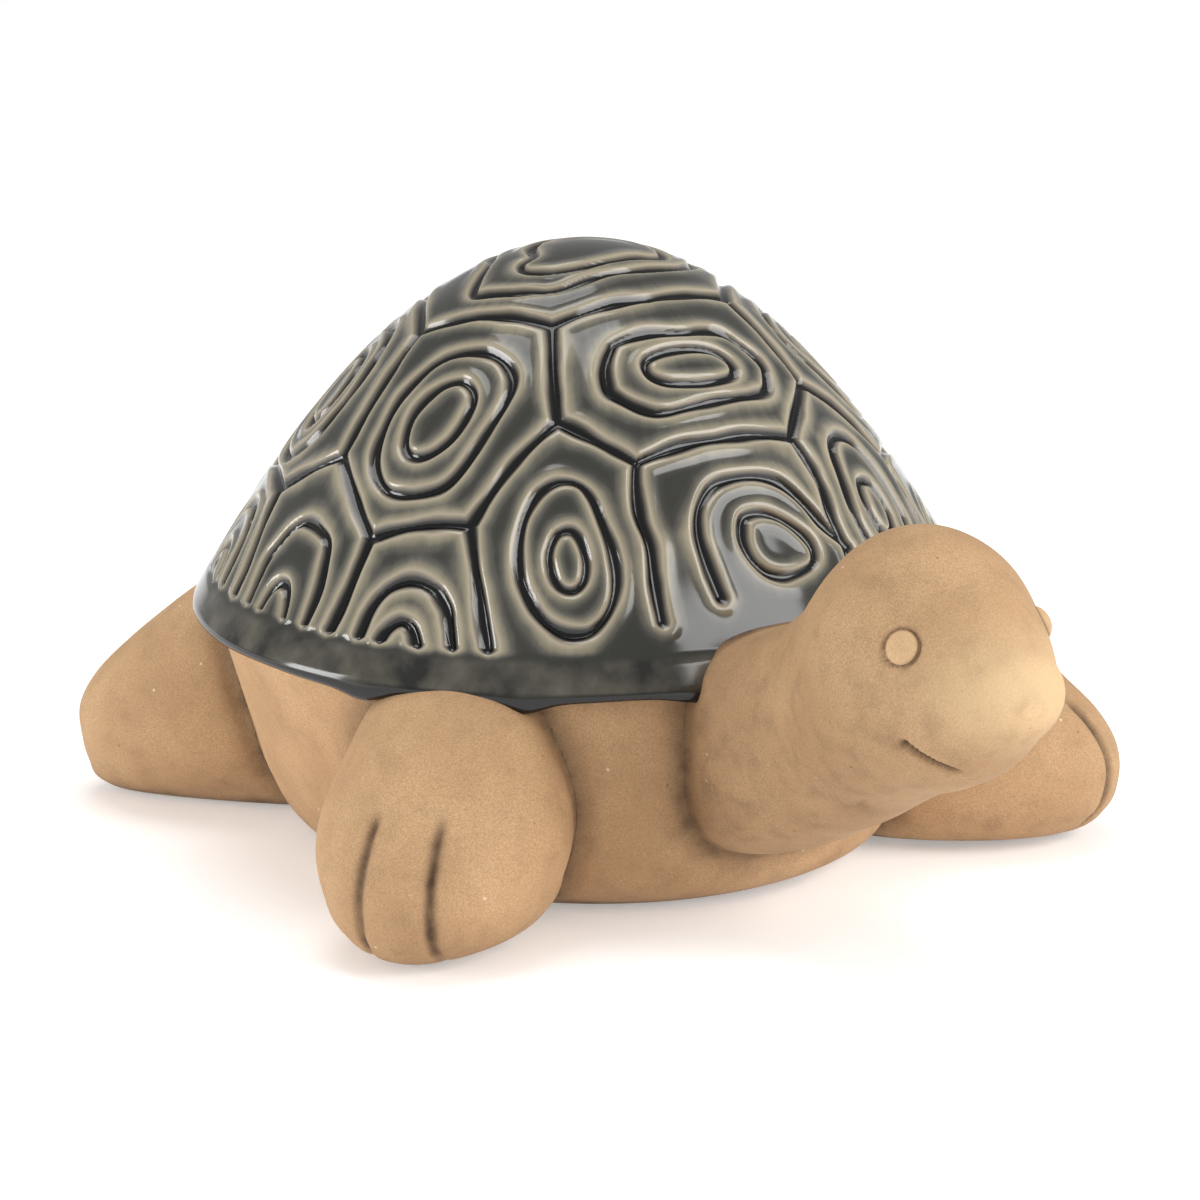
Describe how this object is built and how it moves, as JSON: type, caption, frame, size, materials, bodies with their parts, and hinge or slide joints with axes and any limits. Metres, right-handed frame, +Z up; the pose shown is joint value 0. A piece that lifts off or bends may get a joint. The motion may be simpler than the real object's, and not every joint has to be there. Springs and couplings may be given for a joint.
{
  "type": "turtle figurine",
  "caption": "Hollow stoneware turtle ornament with a glazed domed shell carved with ringed scutes, on a matte tan body with a raised head, stubby legs and a short tail.",
  "frame": {"origin": "middle of the flat base, under the middle of the shell", "axes": "+Z up; the turtle looks along -Y and its left side is +X"},
  "size_m": [0.2006, 0.2735, 0.1343],
  "materials": {
    "stoneware_body": "matte",
    "shell_glaze": "gloss"
  },
  "bodies": {
    "root": {"body": "stoneware_body", "carapace": "shell_glaze", "head": "stoneware_body", "eye_left": "stoneware_body", "eye_right": "stoneware_body", "leg_front_left": "stoneware_body", "leg_front_right": "stoneware_body", "leg_rear_left": "stoneware_body", "leg_rear_right": "stoneware_body", "tail": "stoneware_body"}
  },
  "joints": []
}
